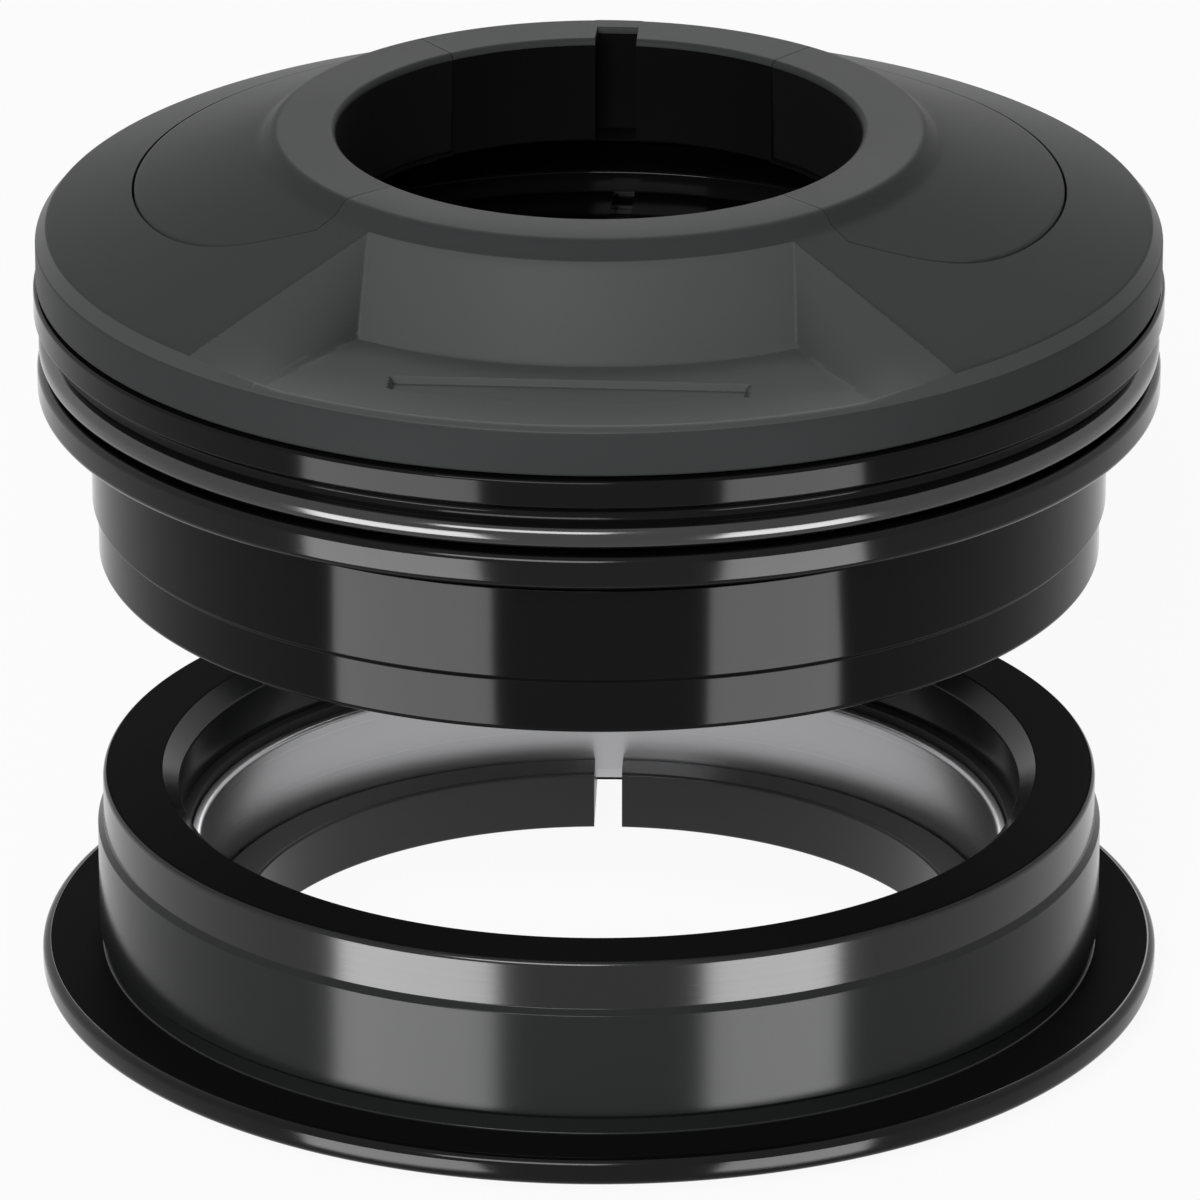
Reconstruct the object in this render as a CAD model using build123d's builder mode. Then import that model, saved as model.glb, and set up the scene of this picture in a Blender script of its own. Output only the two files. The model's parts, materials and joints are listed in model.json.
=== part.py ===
"""Bicycle headset: a pair of press-in cups with sealed bearings, a crown race and a moulded top cover.

Millimetres. +Z runs up the steering axis and -Y is the front of the bicycle. The origin lies on the
axis, in the plane where the lower end of the head tube meets the lower cup's flange.
"""

import os
from math import cos, radians, sin, sqrt

from build123d import *

# Head tube, steerer and bearing sizes
head_tube_bore = 56.0
steerer_diameter = 28.6
flange_spacing = 32.8
cup_wall = 2.0
bearing_section = 3.8
bearing_height = 7.0
bearing_depth = 6.4

# Fits and running gaps
slip_gap = 0.02
track_gap = 0.02
running_gap = 0.3
lip_gap = 0.05
cover_bore_gap = 0.1

# Radius of the cover's side, which the rest of the outside follows
cover_radius = 30.9

# Cups: measured inwards from the end of the head tube
upper_flange_thickness = 1.95
upper_press_length = 6.2
upper_cup_depth = 9.45
lower_flange_proud = 0.3
lower_flange_thickness = 1.55
lower_press_length = 7.05
lower_cup_depth = 10.1
flange_chamfer = 0.4
pilot_relief = 0.32
pilot_bevel = 0.3
cup_end_chamfer = 0.3
cup_lip = 2.6
cup_lip_chamfer = 1.0

# Bearing races, balls, cage and seals
ball_diameter = 2.16
ball_count = 8
track_land = 0.5
race_seat_chamfer = 1.0
race_bore_chamfer = 0.9
race_step = 0.5
cage_thickness = 0.6
cage_margin = 0.2
pocket_gap = 0.08
seal_thickness = 0.6

# Compression ring and its seal
compression_spigot = 1.0
compression_top = 2.2
compression_overhang = 1.2
compression_split = 1.2
window_inner_radius = 16.0
window_outer_radius = 21.0
window_half_angle = 38.0
steerer_seal_width = 1.0
steerer_seal_height = 1.0

# Cover base ring, measured up from its underside
base_gap = 0.25
base_band_proud = 0.15
base_band_height = 1.5
base_bead_inset = 0.1
base_bead_height = 1.4
base_cove_height = 1.2
base_cove_depth = 0.75
base_edge = 0.4
base_wall = 2.4
base_web_thickness = 1.4
base_web_radius = 21.8
wiper_width = 1.2
wiper_depth = 1.0

# Top cover
cover_gap = 0.2
cover_side_height = 2.4
cover_shoulder = 0.6
cover_shoulder_rise = 0.75
cover_shoulder_drop = 0.15
cover_height = 8.45
cover_rim_width = 3.4
cover_bevel = 0.8
cover_wall = 2.2
cover_spigot_wall = 2.1
sleeve_wall = 2.6
sleeve_depth = 6.0
key_width = 2.3
key_depth = 2.0

# Front recess of the cover: headings are in degrees from the front
recess_step = 0.3
recess_back_gap = 3.1
recess_head_gap = 0.2
recess_half_angle = 32.75
recess_head_half_angle = 37.2
recess_side_heading = 39.3
recess_head_heading = 105.5
recess_run_out = 1.4
recess_wall = 1.8
badge_length = 19.0
badge_width = 1.9
badge_bow = 1.4
badge_inset = 2.0
badge_depth = 0.4

# Side inserts of the cover
insert_heading = 94.0
insert_margin = 5.3
insert_half_width = 16.0
insert_skin = 1.1
insert_gap = 0.12

# Crown race and its seal
crown_lip = 2.2
crown_lip_height = 0.65
crown_flange_width = 3.08
crown_base_thickness = 0.6
crown_seal_height = 0.25
crown_split = 1.6
crown_split_turn = 2.2

# Radii and heights that follow from the driving sizes
press_radius = head_tube_bore / 2
pilot_radius = press_radius - pilot_relief
race_outer_radius = press_radius - cup_wall
race_bore_radius = race_outer_radius - bearing_section
pitch_radius = (race_outer_radius + race_bore_radius) / 2
steerer_radius = steerer_diameter / 2
lip_radius = race_outer_radius - cup_lip
upper_flange_radius = cover_radius
lower_flange_radius = cover_radius + lower_flange_proud
contact_offset = ball_diameter / 2 * cos(radians(45))
ball_radius = ball_diameter / 2 - track_gap
upper_seat_z = flange_spacing - bearing_depth
upper_bearing_top = upper_seat_z + bearing_height
lower_seat_z = bearing_depth
lower_bearing_bottom = lower_seat_z - bearing_height
upper_flange_top = flange_spacing + upper_flange_thickness
lower_flange_bottom = -lower_flange_thickness

os.makedirs("parts", exist_ok=True)


def finish(piece, name):
    """Names a finished piece and writes it to its own file."""
    piece.label = name
    export_step(piece, f"parts/{name}.step")


def turned(points):
    """Turns a closed outline of (radius, height) points about the steering axis."""
    with BuildPart() as ring:
        with BuildSketch(Plane.XZ):
            with BuildLine():
                Polyline(*points, close=True)
            make_face()
        revolve(axis=Axis.Z)
    return ring.part


# Cups: one outline serves both, with t measured from the head tube's end face into the tube
def cup_outline(flange_radius, flange_thickness, press_length, depth):
    """Points (radius, t) round the wall of a cup, from the flange to the pilot and back inside."""
    seat_radius = race_outer_radius + slip_gap
    seat_cone = race_seat_chamfer + slip_gap
    return [
        (seat_radius, -flange_thickness),
        (flange_radius - flange_chamfer, -flange_thickness),
        (flange_radius, flange_chamfer - flange_thickness),
        (flange_radius, -flange_chamfer),
        (flange_radius - flange_chamfer, 0),
        (press_radius, 0),
        (press_radius, press_length),
        (pilot_radius, press_length + pilot_bevel),
        (pilot_radius, depth - cup_end_chamfer),
        (pilot_radius - cup_end_chamfer, depth),
        (lip_radius + cup_lip_chamfer, depth),
        (lip_radius, depth - cup_lip_chamfer),
        (lip_radius, bearing_depth),
        (seat_radius - seat_cone, bearing_depth),
        (seat_radius, bearing_depth - seat_cone),
    ]


with BuildPart() as upper_cup:
    with BuildSketch(Plane.XZ):
        with BuildLine():
            upper_walls = cup_outline(
                upper_flange_radius, upper_flange_thickness, upper_press_length, upper_cup_depth
            )
            Polyline(*[(r, flange_spacing - t) for r, t in upper_walls], close=True)
        make_face()
    revolve(axis=Axis.Z)
finish(upper_cup.part, "upper_cup")

with BuildPart() as lower_cup:
    with BuildSketch(Plane.XZ):
        with BuildLine():
            lower_walls = cup_outline(
                lower_flange_radius, lower_flange_thickness, lower_press_length, lower_cup_depth
            )
            Polyline(*lower_walls, close=True)
        make_face()
    revolve(axis=Axis.Z)
finish(lower_cup.part, "lower_cup")

# Angular contact bearings, with h measured from the cup's shoulder out towards the flange
ball_h = bearing_height / 2
inner_contact = (pitch_radius - contact_offset, ball_h + contact_offset)
outer_contact = (pitch_radius + contact_offset, ball_h - contact_offset)
inner_low_radius = inner_contact[0] - track_land
inner_high_radius = inner_contact[0] + track_land
outer_low_radius = outer_contact[0] - track_land
outer_high_radius = outer_contact[0] + track_land

inner_race_walls = [
    (race_bore_radius, race_step),
    (inner_low_radius, race_step),
    (inner_low_radius, inner_contact[1] - track_land),
    (inner_high_radius, inner_contact[1] + track_land),
    (inner_high_radius, bearing_height),
    (race_bore_radius + race_bore_chamfer, bearing_height),
    (race_bore_radius, bearing_height - race_bore_chamfer),
]
outer_race_walls = [
    (outer_low_radius, 0),
    (race_outer_radius - race_seat_chamfer, 0),
    (race_outer_radius, race_seat_chamfer),
    (race_outer_radius, bearing_height),
    (outer_high_radius, bearing_height),
    (outer_high_radius, outer_contact[1] + track_land),
    (outer_low_radius, outer_contact[1] - track_land),
]
shoulder_seal_walls = [
    (inner_low_radius + lip_gap, 0),
    (outer_low_radius, 0),
    (outer_low_radius, seal_thickness),
    (inner_low_radius + lip_gap, seal_thickness),
]
flange_seal_walls = [
    (inner_high_radius + lip_gap, bearing_height - seal_thickness),
    (outer_high_radius, bearing_height - seal_thickness),
    (outer_high_radius, bearing_height),
    (inner_high_radius + lip_gap, bearing_height),
]
# The cage is a conical strip that runs between the two tracks, at 45 degrees to the axis
pocket_size = 2 * (ball_radius + pocket_gap)
cage_along = (pocket_size / 2 + cage_margin) * cos(radians(45))
cage_across = cage_thickness / 2 * cos(radians(45))
cage_walls = [
    (pitch_radius - cage_along + cage_across, ball_h - cage_along - cage_across),
    (pitch_radius + cage_along + cage_across, ball_h + cage_along - cage_across),
    (pitch_radius + cage_along - cage_across, ball_h + cage_along + cage_across),
    (pitch_radius - cage_along - cage_across, ball_h - cage_along + cage_across),
]

for end, seat_z, outward, seals in (
    ("upper", upper_seat_z, 1, ("lower_seal", "upper_seal")),
    ("lower", lower_seat_z, -1, ("upper_seal", "lower_seal")),
):
    ring_walls = {
        "inner_race": inner_race_walls,
        "outer_race": outer_race_walls,
        seals[0]: shoulder_seal_walls,
        seals[1]: flange_seal_walls,
    }
    for ring_name, walls in ring_walls.items():
        finish(turned([(r, seat_z + outward * h) for r, h in walls]), f"{end}_bearing_{ring_name}")

    ball_plane = Plane.XY.offset(seat_z + outward * ball_h)
    with BuildPart(ball_plane) as balls:
        with PolarLocations(pitch_radius, ball_count):
            Sphere(ball_radius)
    finish(balls.part, f"{end}_bearing_balls")

    with BuildPart() as cage:
        add(turned([(r, seat_z + outward * h) for r, h in cage_walls]))
        with Locations(ball_plane):
            with PolarLocations(pitch_radius, ball_count):
                Box(pocket_size, pocket_size, pocket_size, rotation=(0, 45, 0), mode=Mode.SUBTRACT)
    finish(cage.part, f"{end}_bearing_cage")

# Crown race: a split ring whose cone lies in the lower inner race
crown_bore_radius = race_bore_radius - lip_gap - crown_lip
crown_cone_z = lower_bearing_bottom + race_bore_chamfer
crown_step_z = lower_bearing_bottom - running_gap
crown_step_radius = race_bore_radius + race_bore_chamfer + running_gap
crown_boss_radius = race_outer_radius + slip_gap - running_gap
crown_base_radius = crown_boss_radius + crown_flange_width
crown_seal_top = lower_flange_bottom - lip_gap
crown_base_top = crown_seal_top - crown_seal_height
crown_bottom = crown_base_top - crown_base_thickness

with BuildPart() as crown_race:
    with BuildSketch(Plane.XZ):
        with BuildLine():
            Polyline(
                (crown_bore_radius, crown_bottom),
                (crown_base_radius, crown_bottom),
                (crown_base_radius, crown_base_top),
                (crown_boss_radius, crown_base_top),
                (crown_boss_radius, crown_step_z),
                (crown_step_radius, crown_step_z),
                (race_bore_radius - lip_gap, crown_cone_z + lip_gap),
                (race_bore_radius - lip_gap, crown_cone_z + crown_lip_height),
                (crown_bore_radius, crown_cone_z + crown_lip_height),
                close=True,
            )
        make_face()
    revolve(axis=Axis.Z)
    with BuildSketch(Plane.XY.offset(crown_bottom).rotated((0, 0, 90 + crown_split_turn))):
        with Locations((crown_base_radius / 2, 0)):
            Rectangle(crown_base_radius + running_gap, crown_split)
    extrude(amount=crown_cone_z + crown_lip_height - crown_bottom, mode=Mode.SUBTRACT)
finish(crown_race.part, "crown_race")

with BuildPart() as crown_seal:
    add(
        turned(
            [
                (crown_boss_radius, crown_base_top),
                (crown_base_radius - running_gap, crown_base_top),
                (crown_base_radius - running_gap, crown_seal_top),
                (crown_boss_radius, crown_seal_top),
            ]
        )
    )
finish(crown_seal.part, "crown_seal")

# Compression ring: a split wedge between the steerer and the upper inner race, with two hose windows
ring_cone_z = upper_bearing_top - race_bore_chamfer
ring_step_z = upper_bearing_top + running_gap
ring_step_radius = race_bore_radius + race_bore_chamfer + running_gap
ring_outer_radius = ring_step_radius + compression_overhang
ring_top = ring_step_z + compression_top
ring_bottom = ring_cone_z - compression_spigot
seal_seat_radius = steerer_radius + steerer_seal_width
seal_seat_z = ring_top - steerer_seal_height
window_radius = (window_inner_radius + window_outer_radius) / 2

with BuildPart() as compression_ring:
    with BuildSketch(Plane.XZ):
        with BuildLine():
            Polyline(
                (steerer_radius, ring_bottom),
                (race_bore_radius - lip_gap, ring_bottom),
                (race_bore_radius - lip_gap, ring_cone_z - lip_gap),
                (ring_step_radius, ring_step_z),
                (ring_outer_radius, ring_step_z),
                (ring_outer_radius, ring_top),
                (seal_seat_radius, ring_top),
                (seal_seat_radius, seal_seat_z),
                (steerer_radius, seal_seat_z),
                close=True,
            )
        make_face()
    revolve(axis=Axis.Z)
    with BuildSketch(Plane.XY.offset(ring_bottom)):
        for side in (0, 180):
            with BuildLine():
                window_path = CenterArc(
                    (0, 0), window_radius, side - window_half_angle, 2 * window_half_angle
                )
            SlotArc(window_path, window_outer_radius - window_inner_radius)
        with Locations((0, ring_outer_radius / 2)):
            Rectangle(compression_split, ring_outer_radius + running_gap)
    extrude(amount=ring_top - ring_bottom, mode=Mode.SUBTRACT)
finish(compression_ring.part, "compression_ring")

with BuildPart() as steerer_seal:
    add(
        turned(
            [
                (steerer_radius + lip_gap, seal_seat_z),
                (seal_seat_radius, seal_seat_z),
                (seal_seat_radius, ring_top),
                (steerer_radius + lip_gap, ring_top),
            ]
        )
    )
finish(steerer_seal.part, "steerer_seal")

# Cover base ring: bead, cove and band outside, a web that rests on the compression ring inside
base_bottom = upper_flange_top + base_gap
base_band_radius = cover_radius + base_band_proud
base_bead_radius = cover_radius - base_bead_inset
bead_top = base_bottom + base_bead_height
band_bottom = bead_top + base_cove_height
base_top = band_bottom + base_band_height
cove_radius = base_bead_radius - base_cove_depth
web_top = ring_top + base_web_thickness
base_inner_radius = base_band_radius - base_wall
wiper_recess_radius = ring_outer_radius + running_gap
wiper_inner_radius = (wiper_recess_radius + base_bead_radius - wiper_width) / 2
wiper_outer_radius = wiper_inner_radius + wiper_width
wiper_top = base_bottom + wiper_depth
wiper_bottom = upper_flange_top + lip_gap

with BuildPart() as cover_base_ring:
    with BuildSketch(Plane.XZ):
        with BuildLine():
            Polyline(
                (base_web_radius, ring_top),
                (wiper_recess_radius, ring_top),
                (wiper_recess_radius, base_bottom),
                (wiper_inner_radius, base_bottom),
                (wiper_inner_radius, wiper_top),
                (wiper_outer_radius, wiper_top),
                (wiper_outer_radius, base_bottom),
                (base_bead_radius - base_edge, base_bottom),
                (base_bead_radius, base_bottom + base_edge),
                (base_bead_radius, bead_top - base_edge),
                (cove_radius, bead_top),
                (cove_radius, band_bottom - base_edge),
                (base_band_radius, band_bottom),
                (base_band_radius, base_top),
                (base_inner_radius, base_top),
                (base_inner_radius, web_top),
                (base_web_radius, web_top),
                close=True,
            )
        make_face()
    revolve(axis=Axis.Z)
finish(cover_base_ring.part, "cover_base_ring")

with BuildPart() as cup_wiper:
    add(
        turned(
            [
                (wiper_inner_radius, wiper_bottom),
                (wiper_outer_radius, wiper_bottom),
                (wiper_outer_radius, wiper_top),
                (wiper_inner_radius, wiper_top),
            ]
        )
    )
finish(cup_wiper.part, "cup_wiper")

# Top cover: heights and radii of its section
cover_bottom = base_top + cover_gap
cover_top = cover_bottom + cover_height
cover_bore_radius = steerer_radius + cover_bore_gap
rim_radius = cover_bore_radius + cover_rim_width
shoulder_z = cover_bottom + cover_side_height
cone_foot = (cover_radius - cover_shoulder, shoulder_z + cover_shoulder_rise)
spigot_radius = base_inner_radius - lip_gap
cavity_radius = spigot_radius - cover_spigot_wall
sleeve_radius = cover_bore_radius + sleeve_wall
sleeve_bottom = cover_top - sleeve_depth
cone_head = (rim_radius + cover_bevel, cover_top - cover_bevel)


def cone_height(radius):
    """Height of the cover's sloping face at a radius."""
    run = cone_foot[0] - cone_head[0]
    rise = cone_head[1] - cone_foot[1]
    return cone_head[1] - (radius - cone_head[0]) * rise / run


# Front recess: a ledge with a leaning back wall, and two sides that twist from steep to shallow
recess_floor = shoulder_z + recess_step
recess_head_z = cone_head[1]
recess_back_radius = cone_head[0] + recess_back_gap
recess_head_radius = cone_head[0] + recess_head_gap
badge_back_y = -recess_back_radius - badge_inset
badge_front_y = badge_back_y - badge_width

insert_reach = cover_radius - insert_margin


def recess_outline(height, back_radius, half_angle, side_heading, margin):
    """Draws the plan of the recess at a height, grown by a margin on every side."""
    turn, heading = radians(half_angle), radians(side_heading)
    end_radius = cover_radius + recess_run_out
    run = sqrt(end_radius**2 - (back_radius * sin(heading - turn)) ** 2) - back_radius * cos(heading - turn)
    corner = (back_radius * sin(turn), -back_radius * cos(turn))
    side_end = (corner[0] + run * sin(heading), corner[1] - run * cos(heading))
    front_y = -2 * cover_radius
    with BuildSketch(Plane.XY.offset(height)) as plan:
        with BuildLine():
            ThreePointArc((-corner[0], corner[1]), (0, -back_radius), corner)
            Polyline(
                corner,
                side_end,
                (side_end[0], front_y),
                (-side_end[0], front_y),
                (-side_end[0], side_end[1]),
                (-corner[0], corner[1]),
            )
        make_face()
        if margin > 0:
            offset(amount=margin, kind=Kind.INTERSECTION)
    return plan.sketch


def recess_body(margin):
    """Makes the space in front of the recess's walls, grown into the walls by a margin."""
    with BuildPart() as space:
        add(
            recess_outline(
                recess_floor - margin, recess_back_radius, recess_half_angle, recess_side_heading, margin
            )
        )
        add(
            recess_outline(
                recess_head_z, recess_head_radius, recess_head_half_angle, recess_head_heading, margin
            )
        )
        loft(ruled=True)
    return space.part


def insert_outline(side, gap):
    """Draws the plan of a side insert, a rounded tongue that starts at the steering axis, less a gap."""
    heading = radians(insert_heading - 90)
    plane = Plane(origin=(0, 0, 0), x_dir=(side * cos(heading), sin(heading), 0), z_dir=(0, 0, 1))
    half_width = insert_half_width - gap
    with BuildSketch(plane) as plan:
        with BuildLine():
            Line((0, 0), (cover_bore_radius, -half_width))
            EllipticalCenterArc(
                (cover_bore_radius, 0),
                insert_reach - cover_bore_radius - gap,
                half_width,
                start_angle=-90,
                arc_size=180,
            )
            Line((cover_bore_radius, half_width), (0, 0))
        make_face()
    return plan.sketch


insert_edge = insert_reach + running_gap
insert_walls = [
    (cover_bore_radius, sleeve_bottom),
    (cover_bore_radius, cover_top),
    (rim_radius, cover_top),
    cone_head,
    (insert_edge, cone_height(insert_edge)),
    (insert_edge, cone_height(insert_edge) - insert_skin),
    (sleeve_radius, cone_height(sleeve_radius) - insert_skin),
    (sleeve_radius, sleeve_bottom),
]


def insert_body(side, gap):
    """Makes a side insert, less a gap all round: a skin on the cover's slope and a wall along the bore."""
    with BuildPart() as insert:
        add(turned(insert_walls))
        with BuildSketch(Plane.XY.offset(sleeve_bottom)):
            add(insert_outline(side, gap))
        extrude(amount=sleeve_depth, mode=Mode.INTERSECT)
    return insert.part


for name, side in (("right_insert", 1), ("left_insert", -1)):
    finish(insert_body(side, insert_gap), name)

with BuildPart() as cover_hollow:
    add(
        turned(
            [
                (sleeve_radius, web_top),
                (cavity_radius, web_top),
                (cavity_radius, cone_height(cavity_radius) - cover_wall),
                (sleeve_radius, cone_height(sleeve_radius) - cover_wall),
            ]
        )
    )
    add(
        turned(
            [
                (cover_bore_radius, web_top),
                (sleeve_radius, web_top),
                (sleeve_radius, sleeve_bottom),
                (cover_bore_radius, sleeve_bottom),
            ]
        )
    )
    add(recess_body(recess_wall), mode=Mode.SUBTRACT)

with BuildPart() as top_cover:
    add(
        turned(
            [
                (cover_bore_radius, web_top),
                (spigot_radius, web_top),
                (spigot_radius, cover_bottom),
                (cover_radius, cover_bottom),
                (cover_radius, shoulder_z),
                (cover_radius - cover_shoulder_drop, shoulder_z + cover_shoulder_rise / 2),
                cone_foot,
                cone_head,
                (rim_radius, cover_top),
                (cover_bore_radius, cover_top),
            ]
        )
    )
    add(cover_hollow.part, mode=Mode.SUBTRACT)
    add(recess_body(0), mode=Mode.SUBTRACT)
    with BuildSketch(Plane.XY.offset(recess_floor)):
        with BuildLine():
            Polyline(
                (badge_length / 2, badge_front_y),
                (badge_length / 2, badge_back_y),
                (-badge_length / 2, badge_back_y),
                (-badge_length / 2, badge_front_y),
            )
            ThreePointArc(
                (-badge_length / 2, badge_front_y),
                (0, badge_front_y - badge_bow),
                (badge_length / 2, badge_front_y),
            )
        make_face()
    extrude(amount=-badge_depth, mode=Mode.SUBTRACT)
    with BuildSketch(Plane.XY.offset(sleeve_bottom)):
        with Locations((0, cover_bore_radius)):
            Rectangle(key_width, 2 * key_depth)
    extrude(amount=sleeve_depth, mode=Mode.SUBTRACT)
    for side in (1, -1):
        add(insert_body(side, 0), mode=Mode.SUBTRACT)
finish(top_cover.part, "top_cover")
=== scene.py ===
"""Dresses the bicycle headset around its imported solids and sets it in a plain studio.

Sizes are in millimetres in the part's frame: +Z runs up the steering axis and -Y is the front of
the bicycle. Meshes are written in metres. Headings round the axis are in degrees from the front,
positive towards +X.
"""

import json
import logging
import math
from dataclasses import dataclass, field
from enum import Enum
from typing import Union

import bpy
import numpy as np
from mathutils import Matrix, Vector


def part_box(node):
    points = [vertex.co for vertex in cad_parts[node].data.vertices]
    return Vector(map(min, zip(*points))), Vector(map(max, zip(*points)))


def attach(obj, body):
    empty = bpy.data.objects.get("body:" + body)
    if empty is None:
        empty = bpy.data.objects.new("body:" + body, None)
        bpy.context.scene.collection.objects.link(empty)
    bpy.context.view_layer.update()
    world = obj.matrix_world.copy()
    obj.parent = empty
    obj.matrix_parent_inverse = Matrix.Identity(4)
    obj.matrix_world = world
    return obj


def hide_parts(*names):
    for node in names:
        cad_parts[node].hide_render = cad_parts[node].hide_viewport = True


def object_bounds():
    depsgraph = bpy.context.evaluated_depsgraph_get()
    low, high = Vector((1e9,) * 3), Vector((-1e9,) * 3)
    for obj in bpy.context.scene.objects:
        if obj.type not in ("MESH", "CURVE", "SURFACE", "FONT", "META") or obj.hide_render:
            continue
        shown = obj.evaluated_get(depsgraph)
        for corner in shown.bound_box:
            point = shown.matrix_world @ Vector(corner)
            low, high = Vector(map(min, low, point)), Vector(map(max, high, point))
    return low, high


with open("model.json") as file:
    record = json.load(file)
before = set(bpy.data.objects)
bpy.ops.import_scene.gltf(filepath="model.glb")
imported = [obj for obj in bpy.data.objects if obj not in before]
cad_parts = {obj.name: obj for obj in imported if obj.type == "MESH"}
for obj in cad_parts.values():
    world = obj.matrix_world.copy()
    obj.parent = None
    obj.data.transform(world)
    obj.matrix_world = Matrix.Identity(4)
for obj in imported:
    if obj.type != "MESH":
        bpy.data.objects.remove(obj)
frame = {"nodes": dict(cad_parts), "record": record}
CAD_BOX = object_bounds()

log = logging.getLogger("headset")

MM = 0.001
IMAGE_SIZE = 1200
FULL_TURN = 360.0
BACK = 180.0
RING_COLUMNS = 360
SHARP_ANGLE = 38.0
TINY = 1e-6

# Roundings of turned corners, from the keenest to the softest
EDGE_ROUNDING = 0.05
FINE_ROUNDING = 0.1
SMALL_ROUNDING = 0.15
SOFT_ROUNDING = 0.2

# Degrees of turn between the points of a rounding, and the share of an edge that it may take
ARC_STEP = 15.0
ROUNDING_SHARE = 0.48

Colour = tuple[float, float, float]
Faces = list[tuple[int, ...]]
Operand = Union[bpy.types.NodeSocket, float]


class End(Enum):
    """The two ends of the head tube."""

    UPPER = "upper"
    LOWER = "lower"

    @property
    def inward(self) -> int:
        """Sign of the way into the tube along the steering axis."""
        return -1 if self is End.UPPER else 1


class Side(Enum):
    """The two sides of the bicycle, with the sign of their headings."""

    RIGHT = 1
    LEFT = -1


class Body(Enum):
    """The rigid bodies that pieces ride on."""

    HEAD_TUBE_SIDE = "head_tube_side"
    STEERING_TOP = "steering_top"
    CROWN_SIDE = "crown_side"


class Texture(Enum):
    """What covers a surface besides its plain finish."""

    PLAIN = "plain"
    TURNED = "turned"
    MOULDED = "moulded"


@dataclass(frozen=True)
class Extent:
    """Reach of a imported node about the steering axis."""

    radius: float
    bottom: float
    top: float

    @classmethod
    def of(cls, node: str) -> "Extent":
        """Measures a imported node.

        Args:
            node: Name of the node.

        Returns:
            Its radius, bottom and top in millimetres.
        """
        low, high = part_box(node)
        return cls(high.x / MM, low.z / MM, high.z / MM)


@dataclass(frozen=True)
class Mount:
    """Place and size of one of the part's mounts."""

    height: float
    radius: float
    length: float

    @classmethod
    def of(cls, name: str) -> "Mount":
        """Reads a mount.

        Args:
            name: Name of the mount.

        Returns:
            Its height, and its radius and length where it is round, in millimetres.
        """
        mount = next(m for m in frame["record"]["mounts"] if m["name"] == name)
        sizes = mount["dims"]
        return cls(mount["pos_m"][2] / MM, sizes.get("r_mm", 0.0), sizes.get("length_mm", 0.0))


@dataclass(frozen=True)
class Corner:
    """One corner of a turned outline, with the radius that rounds it."""

    radius: float
    height: float
    rounding: float = EDGE_ROUNDING


def rounded(corners: list[Corner], closed: bool = True) -> np.ndarray:
    """Rounds the corners of an outline.

    Args:
        corners: Corners in order.
        closed: Whether the last corner joins the first. The ends of an open outline stay sharp.

    Returns:
        Points as rows of radius and height.
    """
    points = []
    count = len(corners)
    for i, corner in enumerate(corners):
        here = np.array([corner.radius, corner.height])
        if not closed and i in (0, count - 1):
            points.append(here)
            continue
        before, after = corners[i - 1], corners[(i + 1) % count]
        back = np.array([before.radius, before.height]) - here
        ahead = np.array([after.radius, after.height]) - here
        back_length, ahead_length = np.linalg.norm(back), np.linalg.norm(ahead)
        back, ahead = back / back_length, ahead / ahead_length
        turn = math.pi - math.acos(float(np.clip(back @ ahead, -1, 1)))
        longest = ROUNDING_SHARE * min(back_length, ahead_length)
        reach = min(corner.rounding * math.tan(turn / 2), longest)
        steps = max(2, math.ceil(math.degrees(turn) / ARC_STEP))
        middle = (back + ahead) / np.linalg.norm(back + ahead)
        radius = reach / math.tan(turn / 2)
        centre = here + middle * (radius / math.cos(turn / 2))
        side = np.array([-middle[1], middle[0]])
        side = side if side @ back > 0 else -side
        for k in range(steps + 1):
            angle = turn / 2 - turn * k / steps
            points.append(centre + radius * (side * math.sin(angle) - middle * math.cos(angle)))
    return np.array(points)


def mesh_piece(name: str, points: np.ndarray, faces: Faces, body: Body) -> bpy.types.Object:
    """Makes a smooth piece that rides on a body.

    Args:
        name: Name of the piece.
        points: Vertices in millimetres.
        faces: Vertex numbers of each face.
        body: Body that carries the piece.

    Returns:
        The new object.
    """
    mesh = bpy.data.meshes.new(name)
    mesh.from_pydata((points * MM).tolist(), [], faces)
    mesh.validate()
    mesh.polygons.foreach_set("use_smooth", [True] * len(mesh.polygons))
    mesh.set_sharp_from_angle(angle=math.radians(SHARP_ANGLE))
    piece = bpy.data.objects.new(name, mesh)
    bpy.context.scene.collection.objects.link(piece)
    weighted = piece.modifiers.new("even_shading", "WEIGHTED_NORMAL")
    weighted.keep_sharp = True
    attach(piece, body.value)
    return piece


def grid_faces(columns: int, rows: int, wrap_columns: bool) -> Faces:
    """Lists the quads of a grid whose vertices run row by row within each column.

    Args:
        columns: Number of columns.
        rows: Number of points in a column.
        wrap_columns: Whether the last column joins the first. If not, a face closes each end.

    Returns:
        Vertex numbers of each face.
    """
    faces = []
    for c in range(columns if wrap_columns else columns - 1):
        here, beside = c * rows, (c + 1) % columns * rows
        for r in range(rows):
            above = (r + 1) % rows
            faces.append((here + r, here + above, beside + above, beside + r))
    if not wrap_columns:
        faces.append(tuple(reversed(range(rows))))
        faces.append(tuple(range((columns - 1) * rows, columns * rows)))
    return faces


def about_axis(radius: np.ndarray, turn: np.ndarray, height: np.ndarray) -> np.ndarray:
    """Places points about the steering axis.

    Args:
        radius: Radii.
        turn: Headings in radians.
        height: Heights, one for every row at least.

    Returns:
        Points as rows of x, y and z.
    """
    x, y = radius * np.sin(turn), -radius * np.cos(turn)
    return np.stack([x, y, np.broadcast_to(height, x.shape)], axis=-1).reshape(-1, 3)


def outline_turns_left(outline: np.ndarray) -> bool:
    """Tells whether a closed outline runs counter-clockwise."""
    following = np.roll(outline, -1, axis=0)
    return float(np.sum(outline[:, 0] * following[:, 1] - following[:, 0] * outline[:, 1])) > 0


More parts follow.
